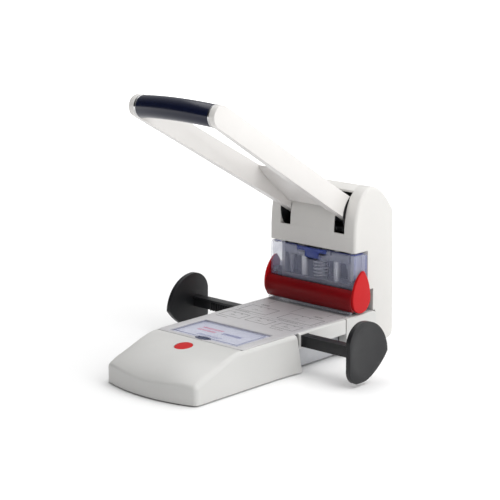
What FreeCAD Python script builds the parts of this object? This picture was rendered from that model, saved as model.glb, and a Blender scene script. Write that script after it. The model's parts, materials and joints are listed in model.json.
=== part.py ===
import FreeCAD, Part
import math
import os

from FreeCAD import Base

# Heavy-duty two-hole paper punch. Millimetres, +Z up, +X to the right of the user who stands at -Y.
# The origin is at the middle of the object's footprint, on the surface that it stands on.

# Overall
HALF_LENGTH = 157.0
FOOT_HEIGHT = 2.5
SKIRT_Z = 1.5
BED_Z = 41.4
COLUMN_FRONT_Y = 92.0
COLUMN_HALF_WIDTH = 58.0
COLUMN_TOP_Z = 172.5
SHELL = 2.5

# Chip drawer and its nose
NOSE_HALF_WIDTH = 60.7
NOSE_CORNER_Y = -146.0
NOSE_FACE_TOP_Z = 18.3
NOSE_CORNER_RADIUS = 6.0
NOSE_EDGE_RADIUS = 5.0
FLARE_START_Y = -36.0
FLARE_HALF_WIDTH = 64.0
DRAWER_REAR_Y = 3.4
DRAWER_REAR_LEAN = 7.0
PLATE_HALF_WIDTH = 57.5
PLATE_FRONT_Y = -80.0
PLATE_REAR_Y = 83.8
PLATE_THICKNESS = 1.6
BUTTON_Y = -100.8
BUTTON_RADIUS = 9.3
BUTTON_TILT = 10.0
BUTTON_TOP_Z = 39.3
RIB_Y = -95.0

# Label window
WINDOW_HALF_WIDTH = 46.0
WINDOW_FRONT_Y = -74.0
WINDOW_REAR_Y = -21.0
WINDOW_GAP = 0.35
TRAY_Z = 39.2
CARD_THICKNESS = 0.4

# Fits
RUNNING_FIT = 0.06

# Punches, dies and the head
PUNCH_HALF_SPACING = 40.0
PUNCH_Y = 108.0
PUNCH_RADIUS = 3.0
PUNCH_HEAD_RADIUS = 3.4
PUNCH_TIP_Z = 53.3
HEAD_PLATE_Z = 63.5
HEAD_PLATE_THICKNESS = 6.0
BACK_STOP_Y = 120.0
PLATE_INNER_X = 45.0
PLATE_OUTER_X = 49.0
TIE_SPOTS = ((142, 20), (142, 84), (140, 118))
TIE_RADIUS = 4.0
POST_X = 22.0
POST_RADIUS = 4.0
POST_TOP_Z = 115.0
CLAMP_ROD_X = 52.2
CLAMP_ROD_Y = 104.5
CLAMP_ROD_RADIUS = 2.2
LUG_OUTER_X = 55.3
HEAD_FRONT_Y = 101.6
GUARD_PIVOT_Y = 97.4
GUARD_PIVOT_Z = 72.3
GUARD_BOTTOM_Z = 68.3
GUARD_TOP_Z = 104.5
LATCH_NOTCH_Z = 98.0
GUARD_PIN_RADIUS = 1.6
PANEL_BOTTOM_Z = 106.5
PANEL_TOP_Z = 151.5
PANEL_THICKNESS = 2.5

# Lever
PIVOT_Y = 118.0
PIVOT_Z = 141.2
PIVOT_RADIUS = 6.0
LEVER_ANGLE = 30.1
ARM_DEPTH = 22.3
ARM_LENGTH = 257.0
ARM_THICKNESS = 11.5
ARM_OUTER_HUB_X = 41.9
WASHER_RADIUS = 26.4
WASHER_OUTER_X = 42.7
ARM_OUTER_GRIP_X = 56.5
ARM_GRIP_THICKNESS = 7.0
GRIP_RADIUS = 11.0
GRIP_CORE_RADIUS = 7.0
GRIP_HALF_WIDTH = 47.4
GRIP_BOW = 5.0
LEVER_STROKE = 39.5
PUNCH_STROKE = 12.5
CRANK_RADIUS = PUNCH_STROKE / 2 / math.sin(math.radians(LEVER_STROKE / 2))
LINK_LENGTH = 41.5
CRANK_PIN_RADIUS = 2.5
CRANK_EYE_RADIUS = 3.8
OPEN_PIVOT_PLAY = 0.85

# Paper stops: two toothed rods that mesh with one pinion between them
PINION_Y = 30.8
TOOTH_MODULE = 1.1
PINION_TEETH = 28
PINION_RADIUS = TOOTH_MODULE * PINION_TEETH / 2
TOOTH_HEIGHT = 1.0
TOOTH_ROOT = 1.35
BACKLASH = 0.3
ROD_FRONT_Y = 5.4
ROD_Z = 27.2
ROD_HEIGHT = 11.4
ROD_DEPTH = 11.3
ROD_GAP = 0.5
ROD_INNER_X = -30.0
DISC_OUTER_X = 133.2
DISC_THICKNESS = 5.2
DISH_RADIUS = 300.0

RIGHT = 1
LEFT = -1
SIDES = (("left", LEFT), ("right", RIGHT))
X_AXIS = Base.Vector(1, 0, 0)
Y_AXIS = Base.Vector(0, 1, 0)
Z_AXIS = Base.Vector(0, 0, 1)
PIVOT = Base.Vector(0, PIVOT_Y, PIVOT_Z)


def vec(x, y, z):
    return Base.Vector(x, y, z)


def box(x0, x1, y0, y1, z0, z1):
    low = vec(min(x0, x1), min(y0, y1), min(z0, z1))
    return Part.makeBox(abs(x1 - x0), abs(y1 - y0), abs(z1 - z0), low)


def rod_x(x0, x1, y, z, radius):
    return Part.makeCylinder(radius, abs(x1 - x0), vec(min(x0, x1), y, z), X_AXIS)


def rod_z(x, y, z0, z1, radius):
    return Part.makeCylinder(radius, z1 - z0, vec(x, y, z0), Z_AXIS)


def mirror_x(shape):
    return shape.mirror(vec(0, 0, 0), X_AXIS)


def on_side(shape, side):
    """A shape drawn on the right, or its mirror image on the left."""
    return shape if side == RIGHT else mirror_x(shape)


def fuse(*shapes):
    """One solid from touching or overlapping shapes."""
    return shapes[0].multiFuse(list(shapes[1:])).removeSplitter()


def rounded(shape, radius, chosen):
    """Fillet the edges whose middle point satisfies the given test."""
    edges = [edge for edge in shape.Edges if chosen(edge)]
    return shape.makeFillet(radius, edges)


def middle(edge):
    return edge.valueAt((edge.FirstParameter + edge.LastParameter) / 2)


def along(edge, axis):
    """True for a straight edge parallel to the axis."""
    if len(edge.Vertexes) < 2 or not isinstance(edge.Curve, Part.Line):
        return False
    return abs(edge.tangentAt(edge.FirstParameter).dot(axis)) > 0.999


def prism_x(wire, x0, x1):
    """A wire in the YZ plane at X = 0, stretched from x0 to x1."""
    face = Part.Face(wire)
    face.translate(vec(x0, 0, 0))
    return face.extrude(vec(x1 - x0, 0, 0))


def polygon_yz(points):
    corners = [vec(0, y, z) for y, z in points]
    return Part.makePolygon(corners + corners[:1])


def polygon_xy(points, z):
    corners = [vec(x, y, z) for x, y in points]
    return Part.makePolygon(corners + corners[:1])


def spline_edge(points):
    curve = Part.BSplineCurve()
    curve.interpolate(points)
    return curve.toShape()


def line(start, end):
    return Part.makeLine(start, end)


def arc(start, through, end):
    return Part.Arc(start, through, end).toShape()


def export(shape, node):
    shape.exportStep("parts/" + node + ".step")


# ---------------------------------------------------------------- base

def base_chassis():
    """Channel that everything is built on: a floor with two low side walls."""
    floor = box(-50, 50, -120, 150, FOOT_HEIGHT, 5.0)
    walls = [box(side * 47, side * 50, -76, 76, 5.0, 24.8) for _, side in SIDES]
    return fuse(floor, *walls)


def rubber_feet():
    spots = [(x, y) for x in (-38, 38) for y in (-108, 138)]
    return Part.makeCompound([rod_z(x, y, 0, FOOT_HEIGHT, 8.0) for x, y in spots])


def rod_passage(side):
    """Clearance that one toothed rod needs through the bed's rails."""
    front = box(-56.5, 70, ROD_FRONT_Y - ROD_GAP, ROD_FRONT_Y + ROD_DEPTH + 1.0,
                ROD_Z - ROD_GAP, ROD_Z + ROD_HEIGHT + ROD_GAP)
    if side == RIGHT:
        return front
    return turned_stop(front)


def turned_stop(shape):
    """Half a turn about the pinion's axis, which carries the right stop onto the left one."""
    return shape.rotated(vec(0, PINION_Y, 0), Z_AXIS, 180)


def bed_frame():
    """Plastic frame under the bed: two rails, cross ribs, the label tray and the pinion's carrier."""
    top = BED_Z - PLATE_THICKNESS
    rails = [box(side * 46.5, side * 57.3, PLATE_FRONT_Y, PLATE_REAR_Y, 24.8, top) for _, side in SIDES]
    front_rib = box(-46.5, 46.5, PLATE_FRONT_Y, -77, 30, top)
    tray = box(-46.5, 46.5, -77, -18, TRAY_Z - 1.2, TRAY_Z)
    tray_rib = box(-46.5, 46.5, -20, -18, TRAY_Z, top)
    rear_rib = box(-46.5, 46.5, 81, PLATE_REAR_Y, 30, top)
    carrier = box(-46.5, 46.5, PINION_Y - 12, PINION_Y + 12, 24.8, 26.4)
    frame = fuse(*rails, front_rib, tray, tray_rib, rear_rib, carrier)
    for _, side in SIDES:
        frame = frame.cut(rod_passage(side))
    return frame.removeSplitter()


def bed_plate():
    """Printed metal plate that the paper lies on, with the opening for the label window."""
    low = BED_Z - PLATE_THICKNESS
    plate = box(-PLATE_HALF_WIDTH, PLATE_HALF_WIDTH, PLATE_FRONT_Y, PLATE_REAR_Y, low, BED_Z)
    plate = rounded(plate, 6.0, lambda e: along(e, Z_AXIS) and middle(e).y < 0)
    opening = box(-WINDOW_HALF_WIDTH, WINDOW_HALF_WIDTH, WINDOW_FRONT_Y, WINDOW_REAR_Y, low, BED_Z)
    return plate.cut(opening)


def label_card():
    half = WINDOW_HALF_WIDTH - 0.5
    return box(-half, half, WINDOW_FRONT_Y + 0.5, WINDOW_REAR_Y - 0.5, TRAY_Z, TRAY_Z + CARD_THICKNESS)


def label_lid():
    """Clear lid over the label, with a finger notch in its front edge and a hinge roll at the back."""
    gap = WINDOW_GAP
    half = WINDOW_HALF_WIDTH - gap
    lid = box(-half, half, WINDOW_FRONT_Y + gap, WINDOW_REAR_Y - 2.2, 39.9, 41.3)
    return fuse(lid, lid_roll()).cut(finger_notch(9.4))


def lid_roll():
    half = WINDOW_HALF_WIDTH - WINDOW_GAP
    return rod_x(-half, half, WINDOW_REAR_Y - 2.2, 40.6, 0.7)


def finger_notch(radius):
    """Half round across the lid's front edge."""
    notch = rod_z(0, WINDOW_FRONT_Y + WINDOW_GAP, 39.0, 42.0, radius)
    return notch.transformGeometry(squeezed_y(0.7, WINDOW_FRONT_Y + WINDOW_GAP))


def squeezed_y(factor, y):
    """Scale along Y about a plane of constant Y."""
    matrix = Base.Matrix()
    matrix.A22 = factor
    matrix.A24 = y * (1 - factor)
    return matrix


def lid_tab():
    """Dark half-oval tab that fills the notch and is lifted with a fingertip."""
    lid_space = box(-20, 20, WINDOW_FRONT_Y + WINDOW_GAP, -50, 39.9, 41.0)
    return finger_notch(9.4).common(lid_space)


def pinion_post():
    return fuse(rod_z(0, PINION_Y, 26.4, 37.8, 3.0), rod_z(0, PINION_Y, 26.4, 28.2, 6.0))


def side_cover(side):
    """Outer skin of the middle of the base, with the slot for one toothed rod."""
    cover = box(57.5, 60.5, 2.2, 75.5, 24.8, BED_Z - 0.4)
    cover = rounded(cover, 1.8, lambda e: along(e, Y_AXIS) and middle(e).x > 60)
    slot_y = ROD_FRONT_Y if side == RIGHT else 2 * PINION_Y - ROD_FRONT_Y - ROD_DEPTH
    slot = box(50, 70, slot_y - ROD_GAP, slot_y + ROD_DEPTH + ROD_GAP,
               ROD_Z - ROD_GAP, ROD_Z + ROD_HEIGHT + ROD_GAP)
    return on_side(cover.cut(slot), side)


def base_rear_cover(side):
    """Lower side skin beside the dies, with a rounded shoulder under the paper throat."""
    inner = 50.2
    outer = box(inner, 60.5, 77.3, 127, SKIRT_Z, BED_Z - 0.4)
    outer = rounded(outer, 6.0, lambda e: along(e, X_AXIS) and middle(e).y > 120 and middle(e).z > 30)
    outer = rounded(outer, 1.8, lambda e: middle(e).x > 60 and middle(e).z > 30 and middle(e).y < 126.9)
    room = box(inner, 60.5 - SHELL, 80, 124, SKIRT_Z, BED_Z - 3.4)
    rib = box(inner, 60.5 - SHELL, 99, 101, 10, BED_Z - 3.4)
    die_step = box(inner, 55.2, 77.3, 123.2, 32, BED_Z)
    bed_step = box(inner, 57.6, 77.3, PLATE_REAR_Y + 0.1, 24.6, BED_Z)
    column_step = box(inner, COLUMN_HALF_WIDTH + 0.2, 122.8, 130, SKIRT_Z, BED_Z)
    shell = outer.cut(room).multiFuse([rib]).cut(die_step).cut(bed_step).cut(column_step)
    return on_side(shell.removeSplitter(), side)


# ---------------------------------------------------------------- chip drawer

def nose_outline(inset, z):
    """Plan outline of the drawer's shell: bowed front, straight sides, flared rear ends."""
    half = NOSE_HALF_WIDTH - inset
    flare = FLARE_HALF_WIDTH - inset
    corner = NOSE_CORNER_Y + inset
    tip = vec(0, -HALF_LENGTH + inset, z)
    front = arc(vec(-half, corner, z), tip, vec(half, corner, z))
    right_side = line(vec(half, corner, z), vec(half, FLARE_START_Y, z))
    left_side = line(vec(-half, FLARE_START_Y, z), vec(-half, corner, z))
    bend = (half + 0.8, -14.0)
    right_flare = arc(vec(half, FLARE_START_Y, z), vec(bend[0], bend[1], z), vec(flare, 6, z))
    left_flare = arc(vec(-flare, 6, z), vec(-bend[0], bend[1], z), vec(-half, FLARE_START_Y, z))
    back = line(vec(flare, 6, z), vec(-flare, 6, z))
    return Part.Wire([front, right_side, right_flare, back, left_flare, left_side])


def nose_profile(inset):
    """Side outline of the drawer's shell: upright face, domed top that runs level under the bed."""
    front = -HALF_LENGTH - 1 + inset
    face_top = vec(0, front, NOSE_FACE_TOP_Z - 3.2 - inset)
    level_start = vec(0, -84, BED_Z - 0.3 - inset)
    through = [vec(0, -140, 30.4 - inset), vec(0, -113, 37.9 - inset)]
    knee = vec(0, -152.5 + inset, 22.2 - inset)
    dome = spline_edge([face_top, knee] + through + [level_start])
    top = line(level_start, vec(0, 8, BED_Z - 0.3 - inset))
    rear = line(vec(0, 8, BED_Z - 0.3 - inset), vec(0, 8, SKIRT_Z))
    bottom = line(vec(0, 8, SKIRT_Z), vec(0, front, SKIRT_Z))
    face = line(vec(0, front, SKIRT_Z), face_top)
    return Part.Wire([dome, top, rear, bottom, face])


def nose_solid(inset):
    plan = Part.Face(nose_outline(inset, 0)).extrude(vec(0, 0, 60))
    side = prism_x(nose_profile(inset), -80, 80)
    return plan.common(side)


def drawer_front():
    """The drawer's shell: nose, sides and finger flares, open below and behind."""
    outer = nose_solid(0)
    outer = rounded(outer, NOSE_CORNER_RADIUS, lambda e: along(e, Z_AXIS) and middle(e).y < -140)
    outer = rounded(outer, NOSE_EDGE_RADIUS, nose_rim)
    shell = outer.cut(nose_solid(SHELL))
    hollow_below = nose_solid(SHELL)
    hollow_below.translate(vec(0, 0, -3))
    shell = shell.cut(hollow_below)
    bed_space = box(-57.8, 57.8, PLATE_FRONT_Y - 0.4, 20, 20, 60)
    rear_top_y = DRAWER_REAR_Y - DRAWER_REAR_LEAN * 60 / BED_Z
    behind = polygon_yz([(DRAWER_REAR_Y, 0), (30, 0), (30, 60), (rear_top_y, 60)])
    shell = shell.cut(bed_space).cut(prism_x(behind, -80, 80))
    rib = box(-58.6, 58.6, RIB_Y - 2, RIB_Y, 6.5, 30)
    shell = fuse(shell, rib.cut(rod_z(0, BUTTON_Y, 24.2, 31, 9.0)))
    return shell.cut(rod_z(0, BUTTON_Y, 31, 45, BUTTON_RADIUS + 0.35)).removeSplitter()


def nose_rim(edge):
    """The unbroken edge between the dome and the front and sides below it."""
    point = middle(edge)
    return point.z > NOSE_FACE_TOP_Z and point.y < 5 and (abs(point.x) > 30 or point.y < -150)


def release_button():
    """Round push button, its top sloping with the nose, on a stem."""
    cap = rod_z(0, BUTTON_Y, 34.0, 50, BUTTON_RADIUS)
    above = box(-20, 20, -20, 20, 0, 30).rotated(vec(0, 0, 0), X_AXIS, BUTTON_TILT)
    above.translate(vec(0, BUTTON_Y, BUTTON_TOP_Z))
    cap = rounded(cap.cut(above), 1.0, lambda e: middle(e).z > 36 and not along(e, Z_AXIS))
    return fuse(cap, rod_z(0, BUTTON_Y, 27.6, 34.0, 3.0))


def button_housing():
    """Cup under the nose that guides the button's stem and seats its spring."""
    cup = rod_z(0, BUTTON_Y, 24.2, 29.8, 9.0)
    bore = rod_z(0, BUTTON_Y, 24.8, 30, 3.06)
    groove = rod_z(0, BUTTON_Y, 25.4, 30, 7.6).cut(rod_z(0, BUTTON_Y, 25.4, 30, 5.6))
    return cup.cut(bore).cut(groove)


def coil(radius, wire_radius, pitch, height):
    """Helical spring about the Z axis, from Z = 0 up to the height."""
    helix = Part.makeHelix(pitch, height - 2 * wire_radius, radius)
    section = Part.Wire(Part.makeCircle(wire_radius, vec(radius, 0, 0), Y_AXIS))
    spring = Part.Wire(helix).makePipeShell([section], True, True)
    spring.translate(vec(0, 0, wire_radius))
    return spring


def button_spring():
    spring = coil(6.6, 0.4, 1.9, 8.4)
    spring.translate(vec(0, BUTTON_Y, 25.5))
    return spring


def chip_box():
    """Open bin behind the nose that catches the paper chips below the dies."""
    outer = box(-43, 43, RIB_Y, 124, 5.4, 23.8)
    outer = rounded(outer, 3.0, lambda e: along(e, Z_AXIS))
    room = box(-41.2, 41.2, RIB_Y + 1.8, 122.2, 7.0, 30)
    room = rounded(room, 2.0, lambda e: along(e, Z_AXIS))
    return outer.cut(room)


# ---------------------------------------------------------------- dies, frame plates and head

def die_plate():
    plate = box(-55, 55, 84, BACK_STOP_Y + 3, 33, BED_Z)
    for _, side in SIDES:
        plate = plate.cut(rod_z(side * PUNCH_HALF_SPACING, PUNCH_Y, 30, 45, 7.0))
    return plate


def die_bushes():
    """Hardened rings with the die holes, relieved below the cutting edge."""
    bushes = []
    for _, side in SIDES:
        bush = rod_z(side * PUNCH_HALF_SPACING, PUNCH_Y, 33, BED_Z, 7.0)
        hole = rod_z(side * PUNCH_HALF_SPACING, PUNCH_Y, 30, 45, PUNCH_RADIUS + 0.1)
        relief = rod_z(side * PUNCH_HALF_SPACING, PUNCH_Y, 30, 38, PUNCH_RADIUS + 1.2)
        bushes.append(bush.cut(hole).cut(relief))
    return Part.makeCompound(bushes)


def back_stop():
    """Upright strip that the paper's edge is pushed against."""
    return box(-44.5, 44.5, BACK_STOP_Y, BACK_STOP_Y + 3, BED_Z, 62)


def side_plate_outline():
    """C-shaped outline: lower jaw under the dies, spine behind the throat, upper jaw over it."""
    points = [(84, 5), (150, 5), (150, 128), (138, 158), (108, 158), (HEAD_FRONT_Y, 150),
              (HEAD_FRONT_Y, 64), (124, 64), (124, 33), (84, 33)]
    return polygon_yz(points)


def side_plate(side):
    plate = prism_x(side_plate_outline(), PLATE_INNER_X, PLATE_OUTER_X)
    plate = rounded(plate, 4.0, lambda e: along(e, X_AXIS) and middle(e).z > 120)
    plate = plate.cut(rod_x(40, 55, PIVOT_Y, PIVOT_Z, PIVOT_RADIUS))
    return on_side(plate, side)


def spacer_bars():
    """Three round bars that tie the two side plates together."""
    return Part.makeCompound([rod_x(-45, 45, y, z, TIE_RADIUS) for y, z in TIE_SPOTS])


def plate_screws():
    """Cap screws that hold the tie bars, outside the side plates."""
    heads = []
    for _, side in SIDES:
        for y, z in TIE_SPOTS:
            head = rod_x(side * 49, side * 52, y, z, 4.2)
            socket = rod_x(side * 50.4, side * 52, y, z, 2.0)
            heads.append(head.cut(socket))
    return Part.makeCompound(heads)


def head_plate():
    """Guide plate over the throat that the punches, posts and clamp rods pass through."""
    top = HEAD_PLATE_Z + HEAD_PLATE_THICKNESS
    plate = box(-PLATE_INNER_X, PLATE_INNER_X, HEAD_FRONT_Y, BACK_STOP_Y, HEAD_PLATE_Z, top)
    for _, side in SIDES:
        plate = plate.cut(rod_z(side * PUNCH_HALF_SPACING, PUNCH_Y, 60, 72, PUNCH_RADIUS + 0.1))
        plate = plate.cut(rod_z(side * POST_X, PUNCH_Y, 60, 72, POST_RADIUS))
    return plate


def head_lugs():
    """Blocks outside the side plates: each has an ear for the guard's pivot and guides a clamp rod."""
    top = HEAD_PLATE_Z + HEAD_PLATE_THICKNESS
    lugs = []
    for _, side in SIDES:
        block = box(side * PLATE_OUTER_X, side * LUG_OUTER_X, HEAD_FRONT_Y, 112, HEAD_PLATE_Z, top)
        neck = box(side * PLATE_OUTER_X, side * LUG_OUTER_X, GUARD_PIVOT_Y, 112, top, GUARD_PIVOT_Z + 2.8)
        ear = rod_x(side * PLATE_OUTER_X, side * LUG_OUTER_X, GUARD_PIVOT_Y, GUARD_PIVOT_Z, 2.8)
        lug = fuse(block, neck, ear)
        lug = lug.cut(rod_z(side * CLAMP_ROD_X, CLAMP_ROD_Y, 60, 78, CLAMP_ROD_RADIUS + 0.1))
        pin_hole = rod_x(side * 50, side * 60, GUARD_PIVOT_Y, GUARD_PIVOT_Z, GUARD_PIN_RADIUS + RUNNING_FIT)
        lugs.append(lug.cut(pin_hole))
    return Part.makeCompound(lugs)


def guide_posts():
    """Two fixed posts that the press beam slides on."""
    posts = [rod_z(side * POST_X, PUNCH_Y, HEAD_PLATE_Z, POST_TOP_Z, POST_RADIUS) for _, side in SIDES]
    return Part.makeCompound(posts)


def post_bridge():
    """Bar that holds the tops of the guide posts between the side plates."""
    bar = box(-PLATE_INNER_X, PLATE_INNER_X, 103.2, 113, POST_TOP_Z - 4.0, POST_TOP_Z)
    for _, side in SIDES:
        bar = bar.cut(rod_z(side * POST_X, PUNCH_Y, 110, 118, POST_RADIUS))
        bar = bar.cut(box(side * 9.8, side * 17.2, 100, 105, 110, 118))
    return bar


def return_spring():
    spring = coil(7.6, 0.75, 3.6, 28.2)
    spring.translate(vec(0, PUNCH_Y, HEAD_PLATE_Z + HEAD_PLATE_THICKNESS + 0.1))
    return spring


# ---------------------------------------------------------------- press beam

def press_beam():
    """Beam that carries both punches; four lugs hold the pin that the links pull and push."""
    beam = box(-44, 44, 99, 115, 92, 101)
    beam = rounded(beam, 1.5, lambda e: along(e, Z_AXIS))
    pin_y, pin_z = beam_pin_place()
    lugs = []
    for _, side in SIDES:
        for near, far in ((5.5, 9.8), (17.2, 21.5)):
            foot = box(side * near, side * far, pin_y - 3.4, 103, 98, pin_z)
            lugs.append(fuse(foot, rod_x(side * near, side * far, pin_y, pin_z, CRANK_EYE_RADIUS)))
    beam = fuse(beam, *lugs).cut(rod_x(-25, 25, pin_y, pin_z, CRANK_PIN_RADIUS))
    beam = beam.cut(rod_z(0, PUNCH_Y, 90, 98, 9.0))
    for _, side in SIDES:
        beam = beam.cut(rod_z(side * POST_X, PUNCH_Y, 90, 120, POST_RADIUS + 0.08))
        beam = beam.cut(rod_z(side * PUNCH_HALF_SPACING, PUNCH_Y, 90, 120, PUNCH_HEAD_RADIUS))
    return beam.removeSplitter()


def crank_pin_place():
    """Crank pin with the lever up; it swings evenly to both sides of the level through the pivot."""
    half = math.radians(LEVER_STROKE / 2)
    return PIVOT_Y - CRANK_RADIUS * math.cos(half), PIVOT_Z + CRANK_RADIUS * math.sin(half)


def beam_pin_place():
    """Under the crank pin's mean position, one link length below it."""
    pin_y, pin_z = crank_pin_place()
    mean_y = (pin_y + PIVOT_Y - CRANK_RADIUS) / 2
    return mean_y, pin_z - LINK_LENGTH


def beam_pin():
    pin_y, pin_z = beam_pin_place()
    return rod_x(-21.5, 21.5, pin_y, pin_z, CRANK_PIN_RADIUS)


def punch(side):
    """Hollow-ground punch with a shouldered head."""
    x = side * PUNCH_HALF_SPACING
    shank = rod_z(x, PUNCH_Y, PUNCH_TIP_Z, 92, PUNCH_RADIUS)
    holder = rod_z(x, PUNCH_Y, 85.5, 92, 4.6)
    head = rod_z(x, PUNCH_Y, 92, 101, PUNCH_HEAD_RADIUS)
    cap = rod_z(x, PUNCH_Y, 101, 103.5, 4.6)
    cup = Part.makeSphere(4.4, vec(x, PUNCH_Y, PUNCH_TIP_Z - 3.6))
    return fuse(shank, holder, head, cap).cut(cup)


# ---------------------------------------------------------------- lever

def lever_point(u, v, x):
    """A point of the lever: u along the arm from the pivot, v square to it, upward."""
    angle = math.radians(LEVER_ANGLE)
    y = PIVOT_Y - u * math.cos(angle) + v * math.sin(angle)
    z = PIVOT_Z + u * math.sin(angle) + v * math.cos(angle)
    return vec(x, y, z)


def arm_section(u, x0, x1, half_depth):
    corners = [lever_point(u, v, x) for x, v in ((x0, -half_depth), (x1, -half_depth),
                                                 (x1, half_depth), (x0, half_depth))]
    return Part.makePolygon(corners + corners[:1])


def lever_arm(side):
    """Flat tapering arm: a round eye on the pivot shaft, a splayed blade, a round grip end."""
    half = ARM_DEPTH / 2
    outer, inner = ARM_OUTER_HUB_X, ARM_OUTER_HUB_X - ARM_THICKNESS
    grip_outer, grip_inner = ARM_OUTER_GRIP_X, ARM_OUTER_GRIP_X - ARM_GRIP_THICKNESS
    near = arm_section(0, inner, outer, half)
    knee = arm_section(40, inner, outer, half)
    far = arm_section(ARM_LENGTH, grip_inner, grip_outer, half)
    blade = Part.makeLoft([knee, far], True, True)
    root = Part.makeLoft([near, knee], True, True)
    end = lever_point(ARM_LENGTH, 0, 0)
    arm = fuse(root, blade)
    arm = fuse(arm, rod_x(inner, outer, PIVOT_Y, PIVOT_Z, half))
    arm = fuse(arm, rod_x(grip_inner, grip_outer, end.y, end.z, half))
    arm = arm.cut(rod_x(0, 100, PIVOT_Y, PIVOT_Z, PIVOT_RADIUS + RUNNING_FIT))
    arm = arm.cut(rod_x(inner, grip_inner, end.y, end.z, half + 0.6))
    return on_side(arm, side)


def lever_bridge():
    """Curved web between the arms: level with their tops in front, sweeping down to the hub."""
    reach, root = 88.0, 27.0
    half = ARM_DEPTH / 2
    x = -36.0
    top_front = lever_point(reach, half - 0.6, x)
    under = spline_edge([lever_point(reach, half - 1.8, x), lever_point(76, 4.6, x),
                         lever_point(60, 0.4, x), lever_point(44, -2.6, x), lever_point(root, -5.8, x)])
    rear = line(lever_point(root, -5.8, x), lever_point(root, half - 0.6, x))
    top = line(lever_point(root, half - 0.6, x), top_front)
    nose = line(top_front, lever_point(reach, half - 1.8, x))
    face = Part.Face(Part.Wire([under, rear, top, nose]))
    web = face.extrude(vec(-2 * x, 0, 0)).cut(rod_x(-100, 100, PIVOT_Y, PIVOT_Z, 29.5))
    return web.cut(lever_arm(LEFT)).cut(lever_arm(RIGHT))


def hub_washers():
    """Black discs on the arms' hubs that run against the cheeks; their rims show in front."""
    discs = []
    for _, side in SIDES:
        disc = rod_x(side * ARM_OUTER_HUB_X, side * WASHER_OUTER_X, PIVOT_Y, PIVOT_Z, WASHER_RADIUS)
        discs.append(disc.cut(rod_x(side * 40, side * 45, PIVOT_Y, PIVOT_Z, PIVOT_RADIUS + RUNNING_FIT)))
    return Part.makeCompound(discs)


def press_crank():
    """Hub tube on the shaft with four short cheeks that hold the crank pin."""
    inner = ARM_OUTER_HUB_X - ARM_THICKNESS
    tube = rod_x(-inner, inner, PIVOT_Y, PIVOT_Z, 10.0)
    pin_y, pin_z = crank_pin_place()
    half = math.radians(LEVER_STROKE / 2)
    cheeks = []
    for _, side in SIDES:
        for near, far in ((5.5, 9.8), (17.2, 21.5)):
            bar = box(side * near, side * far, -CRANK_RADIUS, 0, -CRANK_EYE_RADIUS, CRANK_EYE_RADIUS)
            bar.rotate(vec(0, 0, 0), X_AXIS, -math.degrees(half))
            bar.translate(PIVOT)
            cheeks.append(fuse(bar, rod_x(side * near, side * far, pin_y, pin_z, CRANK_EYE_RADIUS)))
    crank = fuse(tube, *cheeks)
    crank = crank.cut(rod_x(-60, 60, PIVOT_Y, PIVOT_Z, PIVOT_RADIUS + RUNNING_FIT))
    return crank.cut(rod_x(-30, 30, pin_y, pin_z, CRANK_PIN_RADIUS)).removeSplitter()


def crank_pin():
    pin_y, pin_z = crank_pin_place()
    return rod_x(-21.5, 21.5, pin_y, pin_z, CRANK_PIN_RADIUS)


def press_links():
    """Links from the crank pin down to the beam's pin, where their eyes are wide on the pin."""
    pin_y, pin_z = crank_pin_place()
    low_z = pin_z - LINK_LENGTH
    links = []
    for _, side in SIDES:
        near, far = side * 10.6, side * 16.4
        bar = box(near, far, pin_y - 2.6, pin_y + 2.6, low_z, pin_z)
        top_eye = rod_x(near, far, pin_y, pin_z, CRANK_EYE_RADIUS)
        low_eye = rod_x(near, far, pin_y, low_z, 4.6)
        link = fuse(bar, top_eye, low_eye)
        link = link.cut(rod_x(near, far, pin_y, pin_z, CRANK_PIN_RADIUS + RUNNING_FIT))
        links.append(link.cut(rod_x(near, far, pin_y, low_z, CRANK_PIN_RADIUS + OPEN_PIVOT_PLAY)))
    return Part.makeCompound(links)


def pivot_shaft():
    return rod_x(-52.5, 52.5, PIVOT_Y, PIVOT_Z, PIVOT_RADIUS)


def shaft_rings():
    """Snap rings that keep the shaft in the side plates."""
    rings = []
    for _, side in SIDES:
        ring = rod_x(side * 49.2, side * 50.6, PIVOT_Y, PIVOT_Z, 8.6)
        rings.append(ring.cut(rod_x(side * 49, side * 51, PIVOT_Y, PIVOT_Z, PIVOT_RADIUS)))
    return Part.makeCompound(rings)


def bowed_bar(radius, half_width):
    """Round bar along X between the arms' ends, bowed away from the pivot."""
    left_end = lever_point(ARM_LENGTH, 0, -half_width)
    right_end = lever_point(ARM_LENGTH, 0, half_width)
    path = Part.Wire([arc(left_end, lever_point(ARM_LENGTH + GRIP_BOW, 0, 0), right_end)])
    start = path.Edges[0]
    section = Part.Wire(Part.makeCircle(radius, left_end, start.tangentAt(start.FirstParameter)))
    long_bar = path.makePipeShell([section], True, True)
    ends_box = box(-half_width, half_width, -300, 300, 0, 400)
    return long_bar.common(ends_box)


def grip_sleeve():
    """Glossy sleeve over the grip's core."""
    return bowed_bar(GRIP_RADIUS, GRIP_HALF_WIDTH).cut(bowed_bar(GRIP_CORE_RADIUS, GRIP_HALF_WIDTH))


def grip_core():
    return bowed_bar(GRIP_CORE_RADIUS, ARM_OUTER_GRIP_X - ARM_GRIP_THICKNESS)


def grip_collar(side):
    """Bright ring between the sleeve and the arm's end."""
    end = lever_point(ARM_LENGTH, 0, 0)
    collar = rod_x(GRIP_HALF_WIDTH, ARM_OUTER_GRIP_X - ARM_GRIP_THICKNESS, end.y, end.z, ARM_DEPTH / 2 + 0.25)
    collar = rounded(collar, 0.7, lambda e: middle(e).x < GRIP_HALF_WIDTH + 0.1)
    return on_side(collar, side).cut(bowed_bar(GRIP_CORE_RADIUS, ARM_OUTER_GRIP_X - ARM_GRIP_THICKNESS))


# ---------------------------------------------------------------- column

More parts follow.
